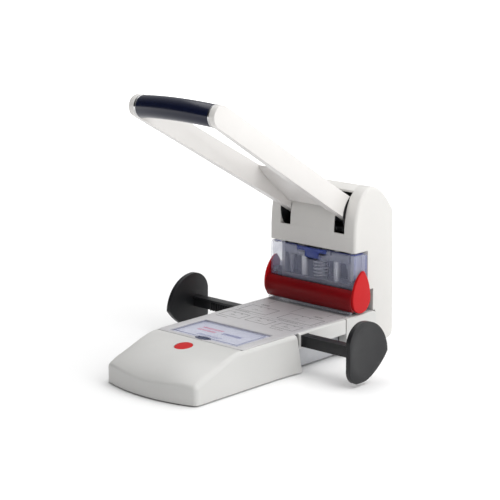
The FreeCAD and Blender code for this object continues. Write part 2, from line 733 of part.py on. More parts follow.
def column_profile(inset):
    """Side outline of the column above the throat: straight front that leans back into a round top."""
    front = COLUMN_FRONT_Y + inset
    back = HALF_LENGTH - inset
    top = COLUMN_TOP_Z - inset
    points = [vec(0, front, 124), vec(0, front + 1.3, 140), vec(0, front + 4.2, 152),
              vec(0, front + 9.4, 162), vec(0, front + 17.6, 169.4 - inset * 0.8),
              vec(0, front + 27.5 - inset, top), vec(0, 132, 168.8 - inset),
              vec(0, 144, 159.0 - inset), vec(0, back - 3.0, 147)]
    curve = spline_edge(points)
    rear = line(points[-1], vec(0, back, 14))
    bottom_bend = arc(vec(0, back, 14), vec(0, back - 2.4, 8.4), vec(0, back - 8, 6))
    bottom = line(vec(0, back - 8, 6), vec(0, 127.2, 6))
    throat_low = line(vec(0, 127.2, 6), vec(0, 127.2, 41))
    shelf_low = line(vec(0, 127.2, 41), vec(0, 123.4, 41))
    throat = line(vec(0, 123.4, 41), vec(0, 123.4, 64.5))
    shelf = line(vec(0, 123.4, 64.5), vec(0, 113.6, 64.5))
    notch = line(vec(0, 113.6, 64.5), vec(0, 113.6, PANEL_BOTTOM_Z))
    head = line(vec(0, 113.6, PANEL_BOTTOM_Z), vec(0, front, PANEL_BOTTOM_Z))
    face = line(vec(0, front, PANEL_BOTTOM_Z), points[0])
    return Part.Wire([curve, rear, bottom_bend, bottom, throat_low, shelf_low, throat, shelf, notch,
                      head, face])


def column_room(x0, x1):
    """Room inside a cheek, one wall thickness within the column's outline."""
    points = [(95, 112), (95, 130), (99.5, 150), (106, 160.5), (113, 166), (120, 169), (131.5, 165),
              (150, 148), (152.5, 20), (152.5, 9), (130.5, 9), (130.5, 44),
              (126.4, 44), (126.4, 67.5), (116.6, 67.5), (116.6, 112)]
    return prism_x(polygon_yz(points), x0, x1)


def column_slot(side):
    """Slot that an arm swings down into, open at the panel's top."""
    return box(side * 29.7, side * 43.4, 80, 100, 124.9, 200)


def between_cheeks():
    """Room between the cheeks, behind the panel, which thins where the crank sweeps past it."""
    face = COLUMN_FRONT_Y + PANEL_THICKNESS
    inner = [(face, 0), (face, 132), (95.3, 141.2), (95.9, 146), (97.2, 150.5), (98.5, 153)]
    return prism_x(polygon_yz(inner + [(200, 153), (200, 0)]), -43, 43)


def column_housing():
    """Front panel and both hollow cheeks in one shell, open behind and between the cheeks' tops."""
    half = COLUMN_HALF_WIDTH
    block = prism_x(column_profile(0), -half, half)
    block = rounded(block, 3.4, lambda e: outer_front_edge(e, half))
    over_panel = box(-43, 43, 0, 200, PANEL_TOP_Z, 200)
    shell = block.cut(between_cheeks()).cut(over_panel)
    for _, side in SIDES:
        shell = shell.cut(column_room(side * 44.6, side * 55.2)).cut(column_slot(side))
        shell = shell.cut(box(side * 40, side * 49.4, 98, 150.5, 0, 112.0))
        shell = shell.cut(box(side * 43, side * 55.2, 151.5, 200, 0, 146))
        shell = shell.cut(rod_x(side * 40, side * 50, PIVOT_Y, PIVOT_Z, PIVOT_RADIUS + 0.8))
        shell = shell.cut(box(side * 40, side * 45, 103, 113.3, POST_TOP_Z - 4.3, POST_TOP_Z + 0.3))
        shell = shell.cut(rod_x(side * 40, side * 45, *TIE_SPOTS[2], TIE_RADIUS + 0.3))
    return shell.removeSplitter()


def outer_front_edge(edge, half):
    """Edges of the two outer side faces, on the front and the round top."""
    point = middle(edge)
    on_face = abs(abs(point.x) - half) < 0.01
    return on_face and point.z > PANEL_BOTTOM_Z + 0.5


def rear_cover():
    """Back wall between the cheeks, curving over the top to a lip above the arms."""
    wall = box(-55.0, 55.0, 151.7, 154.0, 8, 145.8)
    outer = prism_x(column_profile(0.2), -42.7, 42.7)
    inner = prism_x(column_profile(2.6), -43, 43)
    band = outer.cut(inner).common(box(-43, 43, 108.0, 200, 144, 200))
    band = band.cut(rod_x(-43, 43, PIVOT_Y, PIVOT_Z, WASHER_RADIUS + 0.4))
    return fuse(wall, band)


# ---------------------------------------------------------------- guard and pressure bar

def guard():
    """Clear cover over the punches: front, two sides and a flange over each side."""
    half = 57.7
    inner = half - 2.0
    outer = box(-half, half, COLUMN_FRONT_Y + 0.2, 112.6, GUARD_BOTTOM_Z, GUARD_TOP_Z)
    outer = rounded(outer, 2.5, lambda e: guard_round_edge(e))
    room = box(-inner, inner, COLUMN_FRONT_Y + 2.2, 120, 60, GUARD_TOP_Z - 2)
    above = box(-50.5, 50.5, COLUMN_FRONT_Y + 2.2, 120, 90, 110)
    shell = outer.cut(room).cut(above)
    ribs = [box(x - 0.8, x + 0.8, 94.2, 95.3, 74, GUARD_TOP_Z - 2) for x in (-30, -22, 22, 30)]
    shell = fuse(shell, *ribs)
    swing = polygon_yz([(107.6, GUARD_TOP_Z), (114, GUARD_TOP_Z), (114, 100.7)])
    shell = shell.cut(prism_x(swing, -60, 60))
    for _, side in SIDES:
        pin = rod_x(side * 50.6, side * inner, GUARD_PIVOT_Y, GUARD_PIVOT_Z, GUARD_PIN_RADIUS)
        shell = fuse(shell, pin)
    shell = shell.cut(box(-19.4, 19.4, 90, 95.5, LATCH_NOTCH_Z, GUARD_TOP_Z + 1))
    return shell.cut(box(-9.2, 9.2, 90, 94.3, LATCH_NOTCH_Z - 6.6, LATCH_NOTCH_Z)).removeSplitter()


def guard_round_edge(edge):
    point = middle(edge)
    front_upright = along(edge, Z_AXIS) and point.y < 100
    top_side = along(edge, Y_AXIS) and point.z > 100
    top_front = along(edge, X_AXIS) and point.z > 100 and point.y < 100
    return front_upright or top_side or top_front


def guard_latch():
    """Press-down catch in the notch of the guard's top edge; a plate behind the wall keeps it in."""
    base = LATCH_NOTCH_Z
    cap = box(-19, 19, 90.9, 94.4, base + 2.3, GUARD_TOP_Z - 0.2)
    cap = rounded(cap, 1.0, lambda e: middle(e).z > GUARD_TOP_Z - 0.5)
    tab = box(-8.9, 8.9, 91.4, 94.0, base - 4.0, base + 2.3)
    neck = box(-8.9, 8.9, 94.0, 94.5, base - 4.0, base - 2.0)
    keeper = box(-10.2, 10.2, 94.5, 95.1, base - 5.6, base - 2.0)
    return fuse(cap, tab, neck, keeper)


def pressure_bar():
    """Convex bar across the front of the throat."""
    back = 91.6
    profile = Part.Wire([
        arc(vec(0, back - 2.2, 44.6), vec(0, 84.6, 55.6), vec(0, back - 2.2, 67.6)),
        line(vec(0, back - 2.2, 67.6), vec(0, back, 67.6)),
        line(vec(0, back, 67.6), vec(0, back, 44.6)),
        line(vec(0, back, 44.6), vec(0, back - 2.2, 44.6))])
    return prism_x(profile, -58.6, 58.6)


def bar_end(side):
    """Drop-shaped cheek on the end of the bar."""
    centre_y, centre_z, radius = 100.6, 57.2, 14.6
    tip = vec(0, 103.2, 86.8)
    bottom = vec(0, centre_y, centre_z - radius)
    front_low = vec(0, centre_y - radius, centre_z)
    back_low = vec(0, centre_y + radius, centre_z)
    round_low = arc(front_low, bottom, back_low)
    back = arc(back_low, vec(0, centre_y + radius - 3.4, centre_z + 17), tip + vec(0, 1.2, 0))
    cap = line(tip + vec(0, 1.2, 0), tip - vec(0, 1.2, 0))
    front = arc(tip - vec(0, 1.2, 0), vec(0, centre_y - radius + 4.6, centre_z + 18), front_low)
    ear = prism_x(Part.Wire([round_low, back, cap, front]), 58.6, 61.3)
    ear = rounded(ear, 0.9, lambda e: middle(e).x > 61)
    return on_side(ear, side)


def clamp_foot():
    """Clear strip under the bar that presses on the paper."""
    strip = box(-56, 56, 87.6, 91.4, 42.2, 44.6)
    grooves = [box(x, x + 1.5, 86, 93, 42.0, 42.8) for x in range(-54, 54, 6)]
    return strip.cut(Part.makeCompound(grooves))


def clamp_rods():
    """Two upright guide rods on brackets behind the bar."""
    rods = []
    for _, side in SIDES:
        bracket = box(side * 49.8, side * 54.6, 91.6, 107, 48.2, 51.8)
        rods.append(fuse(bracket, rod_z(side * CLAMP_ROD_X, CLAMP_ROD_Y, 50, 80, CLAMP_ROD_RADIUS)))
    return Part.makeCompound(rods)


# ---------------------------------------------------------------- paper stops

def rack_teeth():
    """Teeth along the rod's rear face, meshing with the pinion at X = 0."""
    pitch = math.pi * TOOTH_MODULE
    pitch_line = PINION_Y - PINION_RADIUS
    slope = math.tan(math.radians(20))
    low = ROD_Z + 0.1
    first = math.ceil((ROD_INNER_X + 2) / pitch)
    last = math.floor(106 / pitch)
    teeth = []
    for index in range(first, last):
        x = (index + 0.5) * pitch
        half = pitch / 4 - BACKLASH / 4
        root, tip = half + TOOTH_ROOT * slope, half - TOOTH_HEIGHT * slope
        corners = [(x - root, pitch_line - TOOTH_ROOT - 0.3), (x + root, pitch_line - TOOTH_ROOT - 0.3),
                   (x + root, pitch_line - TOOTH_ROOT), (x + tip, pitch_line + TOOTH_HEIGHT),
                   (x - tip, pitch_line + TOOTH_HEIGHT), (x - root, pitch_line - TOOTH_ROOT)]
        teeth.append(Part.Face(polygon_xy(corners, low)).extrude(vec(0, 0, ROD_HEIGHT - 3.0)))
    return teeth


def stop_rod():
    """Toothed rod of the right stop; a plain flange covers its teeth."""
    root_y = PINION_Y - PINION_RADIUS - TOOTH_ROOT
    inner_disc = DISC_OUTER_X - DISC_THICKNESS
    top = ROD_Z + ROD_HEIGHT
    body = box(ROD_INNER_X, inner_disc, ROD_FRONT_Y, root_y, ROD_Z, top)
    flange = box(ROD_INNER_X, inner_disc, root_y, root_y + 2.2, top - 2.2, top)
    body = fuse(body, flange)
    return body.multiFuse(rack_teeth()).removeSplitter()


def stop_disc_outline():
    """Paddle outline: straight front edge, round back, blunt tip low at the front."""
    front = -7.6
    return Part.Wire([
        line(vec(0, front + 0.2, 20), vec(0, front, 46)),
        arc(vec(0, front, 46), vec(0, front + 8.2, 59.4), vec(0, front + 24, 64)),
        arc(vec(0, front + 24, 64), vec(0, front + 48.6, 52.6), vec(0, front + 59.3, 28)),
        arc(vec(0, front + 59.3, 28), vec(0, 34, 11.4), vec(0, 19.4, 4.2)),
        arc(vec(0, 19.4, 4.2), vec(0, 9.6, 3.4), vec(0, front + 10, 3.9)),
        arc(vec(0, front + 10, 3.9), vec(0, front + 3.4, 8.6), vec(0, front + 0.2, 20))])


def stop_disc():
    """Paddle that the paper's side edge rests against, with a shallow dish outside."""
    disc = prism_x(stop_disc_outline(), DISC_OUTER_X - DISC_THICKNESS, DISC_OUTER_X)
    dish = Part.makeSphere(DISH_RADIUS, vec(DISC_OUTER_X + DISH_RADIUS - 1.2, 22, 34))
    return disc.cut(dish)


def involute_flank(base_radius, tip_radius, turn, sense, z, steps):
    """Points of one tooth flank from the base circle to the tip circle."""
    limit = math.sqrt((tip_radius / base_radius) ** 2 - 1)
    points = []
    for step in range(steps + 1):
        roll = limit * step / steps
        angle = turn + sense * (roll - math.atan(roll))
        radius = base_radius * math.sqrt(1 + roll * roll)
        points.append(vec(radius * math.cos(angle), radius * math.sin(angle), z))
    return points


def pinion():
    """Gear that keeps both stops at equal distances from the middle."""
    base_radius = PINION_RADIUS * math.cos(math.radians(20))
    tip_radius = PINION_RADIUS + TOOTH_HEIGHT
    root_radius = PINION_RADIUS - TOOTH_ROOT
    roll = math.tan(math.radians(20))
    half_tooth = math.pi / 2 / PINION_TEETH - BACKLASH / 4 / PINION_RADIUS + roll - math.radians(20)
    low, high = 28.4, 36.0
    gear = rod_z(0, 0, low, high, root_radius)
    teeth = []
    for index in range(PINION_TEETH):
        turn = 2 * math.pi * index / PINION_TEETH - math.pi / 2
        rising = involute_flank(base_radius, tip_radius, turn - half_tooth, 1, low, 4)
        falling = involute_flank(base_radius, tip_radius, turn + half_tooth, -1, low, 4)
        inner = base_radius - 1.2
        start = vec(inner * math.cos(turn - half_tooth), inner * math.sin(turn - half_tooth), low)
        end = vec(inner * math.cos(turn + half_tooth), inner * math.sin(turn + half_tooth), low)
        corners = [start] + rising + falling[::-1] + [end]
        tooth = Part.Face(Part.makePolygon(corners + [start]))
        teeth.append(tooth.extrude(vec(0, 0, high - low)))
    gear = gear.multiFuse(teeth).removeSplitter()
    gear = gear.cut(rod_z(0, 0, 20, 40, 3.06))
    gear.translate(vec(0, PINION_Y, 0))
    return gear


def write_all():
    os.makedirs("parts", exist_ok=True)
    single = {
        "base_chassis": base_chassis, "rubber_feet": rubber_feet, "bed_frame": bed_frame,
        "bed_plate": bed_plate, "label_card": label_card, "label_lid": label_lid,
        "label_lid_tab": lid_tab, "pinion_post": pinion_post, "drawer_front": drawer_front,
        "release_button": release_button, "button_housing": button_housing,
        "button_spring": button_spring, "chip_box": chip_box, "die_plate": die_plate,
        "die_bushes": die_bushes, "back_stop": back_stop, "spacer_bars": spacer_bars,
        "plate_screws": plate_screws, "head_plate": head_plate, "head_lugs": head_lugs,
        "press_links": press_links, "guide_posts": guide_posts, "post_bridge": post_bridge,
        "return_spring": return_spring, "press_beam": press_beam, "beam_pin": beam_pin,
        "lever_bridge": lever_bridge, "hub_washers": hub_washers, "press_crank": press_crank, "crank_pin": crank_pin,
        "pivot_shaft": pivot_shaft, "shaft_rings": shaft_rings, "grip_sleeve": grip_sleeve,
        "grip_core": grip_core, "column_housing": column_housing, "rear_cover": rear_cover,
        "guard": guard, "guard_latch": guard_latch, "pressure_bar": pressure_bar,
        "clamp_foot": clamp_foot, "clamp_rods": clamp_rods, "stop_pinion": pinion,
        "stop_rod_right": stop_rod, "stop_disc_right": stop_disc,
    }
    for node, make in single.items():
        export(make(), node)
    export(turned_stop(stop_rod()), "stop_rod_left")
    export(turned_stop(stop_disc()), "stop_disc_left")
    paired = {
        "side_cover": side_cover, "base_rear_cover": base_rear_cover, "side_plate": side_plate,
        "punch": punch, "lever_arm": lever_arm, "grip_collar": grip_collar, "bar_end": bar_end,
    }
    for node, make in paired.items():
        for name, side in SIDES:
            export(make(side), node + "_" + name)


write_all()
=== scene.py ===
"""Looks of a heavy-duty hole punch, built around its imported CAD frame."""

import json
import math
import random

import bmesh
import bpy
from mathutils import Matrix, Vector


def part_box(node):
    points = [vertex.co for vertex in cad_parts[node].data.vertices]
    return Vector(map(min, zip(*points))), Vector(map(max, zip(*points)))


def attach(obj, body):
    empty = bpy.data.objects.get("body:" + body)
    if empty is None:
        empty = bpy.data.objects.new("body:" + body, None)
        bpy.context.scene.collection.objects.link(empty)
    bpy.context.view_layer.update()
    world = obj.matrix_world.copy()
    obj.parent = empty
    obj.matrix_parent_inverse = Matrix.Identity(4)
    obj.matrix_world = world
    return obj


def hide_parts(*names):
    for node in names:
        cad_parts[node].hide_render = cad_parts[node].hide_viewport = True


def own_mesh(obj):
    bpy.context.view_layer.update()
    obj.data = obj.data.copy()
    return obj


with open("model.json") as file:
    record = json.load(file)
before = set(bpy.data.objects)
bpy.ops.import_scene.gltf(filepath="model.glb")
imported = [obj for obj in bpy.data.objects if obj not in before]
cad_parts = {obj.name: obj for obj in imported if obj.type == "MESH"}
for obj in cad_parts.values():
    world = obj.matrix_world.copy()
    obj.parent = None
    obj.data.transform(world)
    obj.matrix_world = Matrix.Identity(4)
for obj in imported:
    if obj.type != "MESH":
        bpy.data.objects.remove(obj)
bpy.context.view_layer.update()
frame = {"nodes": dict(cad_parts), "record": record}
NODES = frame["nodes"]
BODIES = frame["record"]["behaviour"]["bodies"]
SLOT_OF = {part["node"]: part["material_slot"] for part in frame["record"]["subparts"]}
BODY_OF = {node: body for body, members in BODIES.items() for node in members}
MM = 0.001
random.seed(7)


# ---------------------------------------------------------------- materials

class Surface:
    """A procedural material: one shader with tone, roughness and relief from noise in metres."""

    def __init__(self, name):
        self.material = bpy.data.materials.new(name)
        self.material.use_nodes = True
        self.tree = self.material.node_tree
        self.shader = self.tree.nodes["Principled BSDF"]
        self.place = self.tree.nodes.new("ShaderNodeTexCoord").outputs["Object"]

    def node(self, kind, **settings):
        made = self.tree.nodes.new("ShaderNode" + kind)
        for key, value in settings.items():
            setattr(made, key, value)
        return made

    def link(self, source, target):
        self.tree.links.new(source, target)

    def stretched(self, factors):
        """The place, scaled by a factor along each axis."""
        mapping = self.node("Mapping")
        mapping.inputs["Scale"].default_value = factors
        self.link(self.place, mapping.inputs["Vector"])
        return mapping.outputs["Vector"]

    def noise(self, scale, detail=3.0, roughness=0.55, place=None):
        made = self.node("TexNoise")
        made.inputs["Scale"].default_value = scale
        made.inputs["Detail"].default_value = detail
        made.inputs["Roughness"].default_value = roughness
        self.link(place or self.place, made.inputs["Vector"])
        return made.outputs["Fac"]

    def spread(self, value, low, high, start=0.3, end=0.7):
        """A noise value moved to the range low to high."""
        made = self.node("MapRange")
        made.inputs["From Min"].default_value = start
        made.inputs["From Max"].default_value = end
        made.inputs["To Min"].default_value = low
        made.inputs["To Max"].default_value = high
        self.link(value, made.inputs["Value"])
        return made.outputs["Result"]

    def mix(self, factor, first, second):
        made = self.node("Mix", data_type="RGBA")
        for socket, value in ((made.inputs[0], factor), (made.inputs[6], first), (made.inputs[7], second)):
            if isinstance(value, bpy.types.NodeSocket):
                self.link(value, socket)
            elif isinstance(value, tuple):
                socket.default_value = (*value, 1.0)
            else:
                socket.default_value = value
        return made.outputs[2]

    def relief(self, layers):
        """Stacked bumps; each layer is a height, its strength and its depth in metres."""
        normal = None
        for height, strength, depth in layers:
            bump = self.node("Bump")
            bump.inputs["Strength"].default_value = strength
            bump.inputs["Distance"].default_value = depth
            self.link(height, bump.inputs["Height"])
            if normal is not None:
                self.link(normal, bump.inputs["Normal"])
            normal = bump.outputs["Normal"]
        self.link(normal, self.shader.inputs["Normal"])

    def scuffs(self):
        """0 to 1 along sparse fine scratches, broken up by noise."""
        lines = self.spread(self.noise(30.0, 2, 0.5, self.stretched((1.0, 26.0, 9.0))), 0.0, 1.0, 0.66, 0.74)
        patches = self.spread(self.noise(14.0, 3), 0.0, 0.5, 0.5, 0.7)
        product = self.node("Math", operation="MULTIPLY")
        self.link(lines, product.inputs[0])
        self.link(patches, product.inputs[1])
        return product.outputs[0]

    def fixed(self, **values):
        for key, value in values.items():
            self.shader.inputs[key.replace("_", " ")].default_value = value


def moulded(name, colour, dark, rough, grain=1400.0, depth=0.00005, strength=0.25, **fixed):
    """Moulded plastic or paint: faint cloudiness, a fine grain and light scuffs."""
    s = Surface(name)
    tone = s.mix(s.spread(s.noise(9.0, 4), 0.0, 1.0), colour, dark)
    specks = s.spread(s.noise(3200.0, 2), 0.0, 0.10, 0.45, 0.75)
    tone = s.mix(specks, tone, tuple(c * 0.55 for c in colour))
    tone = s.mix(s.scuffs(), tone, tuple(c * 0.86 + 0.012 for c in colour))
    s.link(tone, s.shader.inputs["Base Color"])
    blotches = s.spread(s.noise(60.0, 5), rough[0], rough[1])
    s.link(blotches, s.shader.inputs["Roughness"])
    s.relief([(s.noise(grain, 2), strength, depth), (s.noise(35.0, 3), 0.05, 0.0004)])
    s.fixed(**fixed)
    return s.material


def metal(name, colour, dark, rough, brush=(1.0, 60.0, 60.0), strength=0.12, metallic=1.0, **fixed):
    """Brushed or ground metal: streaks along one axis, tonal drift and handling marks."""
    s = Surface(name)
    streaks = s.noise(40.0, 6, 0.7, s.stretched(brush))
    tone = s.mix(s.spread(streaks, 0.0, 0.7), colour, dark)
    tone = s.mix(s.spread(s.noise(45.0, 5), 0.0, 0.35, 0.5, 0.8), tone, tuple(c * 0.6 for c in dark))
    s.link(tone, s.shader.inputs["Base Color"])
    s.link(s.spread(streaks, rough[0], rough[1]), s.shader.inputs["Roughness"])
    s.relief([(streaks, strength, 0.00006)])
    s.fixed(Metallic=metallic, **fixed)
    return s.material


def clear(name, colour, edge, alpha=(0.16, 0.24), rough=(0.05, 0.14), rim_depth=0.5, **fixed):
    """Clear tinted plastic: thin walls let most light through, grazing ones look deeper."""
    s = Surface(name)
    flow = s.noise(22.0, 3, 0.5, s.stretched((1.0, 1.0, 3.0)))
    facing = s.node("LayerWeight")
    facing.inputs["Blend"].default_value = 0.35
    rim = s.spread(facing.outputs["Facing"], 0.0, 1.0, 0.25, 0.95)
    tone = s.mix(rim, s.mix(s.spread(flow, 0.0, 0.35), colour, edge), edge)
    s.link(tone, s.shader.inputs["Base Color"])
    s.link(s.spread(s.noise(85.0, 5), rough[0], rough[1]), s.shader.inputs["Roughness"])
    body = s.spread(flow, alpha[0], alpha[1])
    deeper = s.node("Math", operation="MULTIPLY_ADD", use_clamp=True)
    s.link(rim, deeper.inputs[0])
    deeper.inputs[1].default_value = rim_depth
    s.link(body, deeper.inputs[2])
    s.link(deeper.outputs[0], s.shader.inputs["Alpha"])
    s.relief([(flow, 0.05, 0.0003), (s.noise(900.0, 2), 0.02, 0.00003)])
    s.fixed(IOR=1.46, **fixed)
    return s.material


def paper(name, colour, dark):
    """Card with visible fibres."""
    s = Surface(name)
    fibres = s.noise(900.0, 6, 0.7, s.stretched((1.0, 2.5, 1.0)))
    s.link(s.mix(s.spread(fibres, 0.0, 0.5), colour, dark), s.shader.inputs["Base Color"])
    s.link(s.spread(fibres, 0.75, 0.9), s.shader.inputs["Roughness"])
    s.relief([(fibres, 0.2, 0.00004)])
    return s.material


def printed_plate():
    """Satin silver sheet, lacquered: a fine grain along Y with light scuffs."""
    s = Surface("plate_silver")
    grain = s.noise(55.0, 6, 0.7, s.stretched((40.0, 1.0, 40.0)))
    tone = s.mix(s.spread(grain, 0.0, 1.0), (0.63, 0.62, 0.63), (0.57, 0.56, 0.575))
    scuffs = s.spread(s.noise(38.0, 6, 0.7), 0.0, 0.25, 0.55, 0.8)
    s.link(s.mix(scuffs, tone, (0.49, 0.48, 0.50)), s.shader.inputs["Base Color"])
    s.link(s.spread(grain, 0.38, 0.50), s.shader.inputs["Roughness"])
    s.relief([(grain, 0.08, 0.00004)])
    s.fixed(Metallic=0.35)
    return s.material


def make_materials():
    white, shade = (0.70, 0.685, 0.66), (0.66, 0.65, 0.63)
    base, base_shade = (0.635, 0.63, 0.615), (0.595, 0.595, 0.58)
    return {
        "housing_white": moulded("housing_white", white, shade, (0.42, 0.55)),
        "base_white": moulded("base_white", base, base_shade, (0.36, 0.48)),
        "arm_white": moulded("arm_white", (0.72, 0.70, 0.68), (0.68, 0.665, 0.645), (0.30, 0.42), 900.0,
                             0.00006, 0.18, Coat_Weight=0.15, Coat_Roughness=0.25),
        "grip_navy": moulded("grip_navy", (0.003, 0.005, 0.020), (0.004, 0.007, 0.026), (0.16, 0.28), 700.0,
                             0.00005, 0.08, Specular_IOR_Level=0.42),
        "collar_silver": metal("collar_silver", (0.62, 0.62, 0.62), (0.40, 0.40, 0.40), (0.12, 0.26)),
        "stop_black": moulded("stop_black", (0.007, 0.0075, 0.009), (0.010, 0.0105, 0.012), (0.32, 0.46),
                              1200.0, 0.00006, 0.22, Specular_IOR_Level=0.4),
        "bar_red": moulded("bar_red", (0.27, 0.0015, 0.004), (0.21, 0.001, 0.004), (0.34, 0.46), 1500.0,
                           0.00004, 0.14, Specular_IOR_Level=0.25),
        "button_red": moulded("button_red", (0.58, 0.006, 0.008), (0.50, 0.005, 0.008), (0.34, 0.46), 1500.0,
                              0.00004, 0.14, Specular_IOR_Level=0.18),
        "guard_clear": clear("guard_clear", (0.70, 0.74, 0.95), (0.10, 0.13, 0.48), (0.12, 0.20)),
        "guard_edge": clear("guard_edge", (0.12, 0.15, 0.46), (0.05, 0.07, 0.32), (0.50, 0.65)),
        "foot_clear": clear("foot_clear", (0.80, 0.82, 0.88), (0.45, 0.48, 0.62), (0.22, 0.32), (0.10, 0.25)),
        "latch_blue": clear("latch_blue", (0.05, 0.09, 0.40), (0.012, 0.025, 0.20), (0.60, 0.72),
                            (0.08, 0.2)),
        "plate_silver": printed_plate(),
        "lid_clear": clear("lid_clear", (0.72, 0.74, 0.84), (0.20, 0.22, 0.48), (0.05, 0.10),
                           (0.04, 0.14), 0.25),
        "tab_blue": moulded("tab_blue", (0.010, 0.020, 0.085), (0.008, 0.016, 0.065), (0.22, 0.36)),
        "line_grey": moulded("line_grey", (0.20, 0.22, 0.34), (0.16, 0.18, 0.29), (0.3, 0.45)),
        "card": paper("card", (0.66, 0.67, 0.72), (0.60, 0.61, 0.67)),
        "steel_zinc": metal("steel_zinc", (0.52, 0.53, 0.55), (0.40, 0.41, 0.43), (0.32, 0.50), metallic=0.6),
        "steel_dark": metal("steel_dark", (0.26, 0.265, 0.285), (0.18, 0.185, 0.20), (0.30, 0.5)),
        "steel_bright": metal("steel_bright", (0.84, 0.85, 0.87), (0.72, 0.73, 0.75), (0.16, 0.30),
                              (60.0, 60.0, 1.0), metallic=0.5),
        "frame_grey": moulded("frame_grey", (0.10, 0.105, 0.115), (0.13, 0.135, 0.145), (0.45, 0.6)),
        "bin_grey": moulded("bin_grey", (0.22, 0.225, 0.235), (0.26, 0.265, 0.275), (0.45, 0.6)),
        "rubber": moulded("rubber", (0.018, 0.018, 0.018), (0.028, 0.028, 0.027), (0.7, 0.88), 600.0,
                          0.00012, 0.4),
        # Painted shade: near-black for faces inside the column and the rear cover, where only shade falls.
        "painted_shade_inside": moulded("painted_shade_inside", (0.006, 0.006, 0.007), (0.009, 0.009, 0.010), (0.7, 0.9)),
    }


MATERIALS = make_materials()


def dress(obj, slot):
    obj.data.materials.clear()
    obj.data.materials.append(MATERIALS[slot])


# ---------------------------------------------------------------- mesh helpers

SEAM_GAP = 2e-6
FLAT_ANGLE = 0.6
SMOOTH_ANGLE = 38.0
BEVEL_ANGLE = 32.0
BEVEL_STEPS = 3


def new_piece(name, bm, body, slot, material=None):
    """An object from a bmesh, riding on a body, with smooth faces and sharp edges by angle."""
    bmesh.ops.recalc_face_normals(bm, faces=bm.faces[:])
    mesh = bpy.data.meshes.new(name)
    bm.to_mesh(mesh)
    bm.free()
    for face in mesh.polygons:
        face.use_smooth = True
    mesh.set_sharp_from_angle(angle=math.radians(SMOOTH_ANGLE))
    obj = bpy.data.objects.new(name, mesh)
    bpy.context.scene.collection.objects.link(obj)
    mesh.materials.append(material or MATERIALS[slot])
    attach(obj, body)
    return obj


def sharp_edges(bm):
    limit = math.radians(BEVEL_ANGLE)
    return [edge for edge in bm.edges if len(edge.link_faces) == 2 and edge.calc_face_angle(0.0) > limit]


def joined_mesh(node):
    """A CAD node's mesh with its seams joined."""
    bm = bmesh.new()
    bm.from_mesh(NODES[node].data)
    bmesh.ops.remove_doubles(bm, verts=bm.verts[:], dist=SEAM_GAP)
    return bm


def node_mesh(node):
    """A CAD node's mesh with its seams joined and its flat faces whole."""
    bm = joined_mesh(node)
    bmesh.ops.dissolve_limit(bm, angle_limit=math.radians(FLAT_ANGLE), verts=bm.verts[:], edges=bm.edges[:])
    return bm


def second_material(piece, material, test):
    """Another material on the faces whose centre, in millimetres, and normal pass the test."""
    mesh = piece.data
    mesh.materials.append(MATERIALS[material])
    for face in mesh.polygons:
        if test(face.center / MM, face.normal):
            face.material_index = 1


def soften(node, width):
    """A piece with the CAD node's shape and edges rounded over a width in millimetres, in its place."""
    bm = node_mesh(node)
    bmesh.ops.bevel(bm, geom=sharp_edges(bm), offset=width * MM, segments=BEVEL_STEPS, profile=0.5,
                    affect="EDGES", clamp_overlap=True)
    piece = new_piece("soft_" + node, bm, BODY_OF[node], SLOT_OF[node])
    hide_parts(node)
    return piece


def add_box(bm, low, high):
    """A closed box between two corners, in metres."""
    corners = [bm.verts.new((x, y, z)) for z in (low[2], high[2]) for y in (low[1], high[1])
               for x in (low[0], high[0])]
    for face in ((0, 2, 3, 1), (4, 5, 7, 6), (0, 1, 5, 4), (2, 6, 7, 3), (0, 4, 6, 2), (1, 3, 7, 5)):
        bm.faces.new([corners[i] for i in face])


# ---------------------------------------------------------------- dressed CAD nodes

for node_name, obj in NODES.items():
    dress(obj, SLOT_OF[node_name])

EDGE_WIDTHS = {
    "lever_arm_left": 1.5, "lever_arm_right": 1.5, "lever_bridge": 1.0, "column_housing": 0.5,
    "rear_cover": 0.6, "side_cover_left": 0.3, "side_cover_right": 0.3, "base_rear_cover_left": 0.5,
    "base_rear_cover_right": 0.5, "stop_disc_left": 1.3, "stop_disc_right": 1.3, "stop_rod_left": 0.4,
    "stop_rod_right": 0.4, "pressure_bar": 0.7, "bar_end_left": 0.4, "bar_end_right": 0.4,
    "release_button": 0.5, "grip_collar_left": 0.4, "grip_collar_right": 0.4, "guard": 0.5,
    "guard_latch": 0.6, "bed_plate": 0.2, "label_lid": 0.2, "press_beam": 0.4,
}
SOFT = {node_name: soften(node_name, edge_width) for node_name, edge_width in EDGE_WIDTHS.items()}


# ---------------------------------------------------------------- painted shade inside and the guard's cut edges

ROOM_HALF_WIDTH = 42.9
ROOM_FRONT_Y = 93.9
ROOM_FLOOR_Z = 110.0
COVER_BACK_Y = 140.0
GUARD_TOP_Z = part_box("guard")[1][2] / MM
GUARD_CORNER_X = 57.0
GUARD_SIDE_X = 56.0
GUARD_FRONT_Y = 93.6


def painted_shade_in_column(place, normal):
    """Faces inside the column, behind the front panel and between the cheeks, that take the painted shade."""
    between = abs(place.x) < ROOM_HALF_WIDTH and place.y > ROOM_FRONT_Y and place.z > ROOM_FLOOR_Z
    return between and normal.y > -0.3 and normal.z < 0.5


def painted_shade_in_rear_cover(place, normal):
    """The rear cover's faces towards the room, below its roof and before its back, that take the painted
    shade.
    """
    below_roof = normal.z < -0.3
    before_back = place.y > COVER_BACK_Y and normal.y < -0.2
    return place.z > ROOM_FLOOR_Z and (below_roof or before_back)


def rim_of_guard(place, normal):
    """The cut edges along the guard's top and back and its outer corners."""
    top = place.z > GUARD_TOP_Z - 0.7
    corner = abs(place.x) > GUARD_CORNER_X and place.y < GUARD_FRONT_Y
    back = normal.y > 0.7 and abs(place.x) > GUARD_SIDE_X
    return top or corner or back


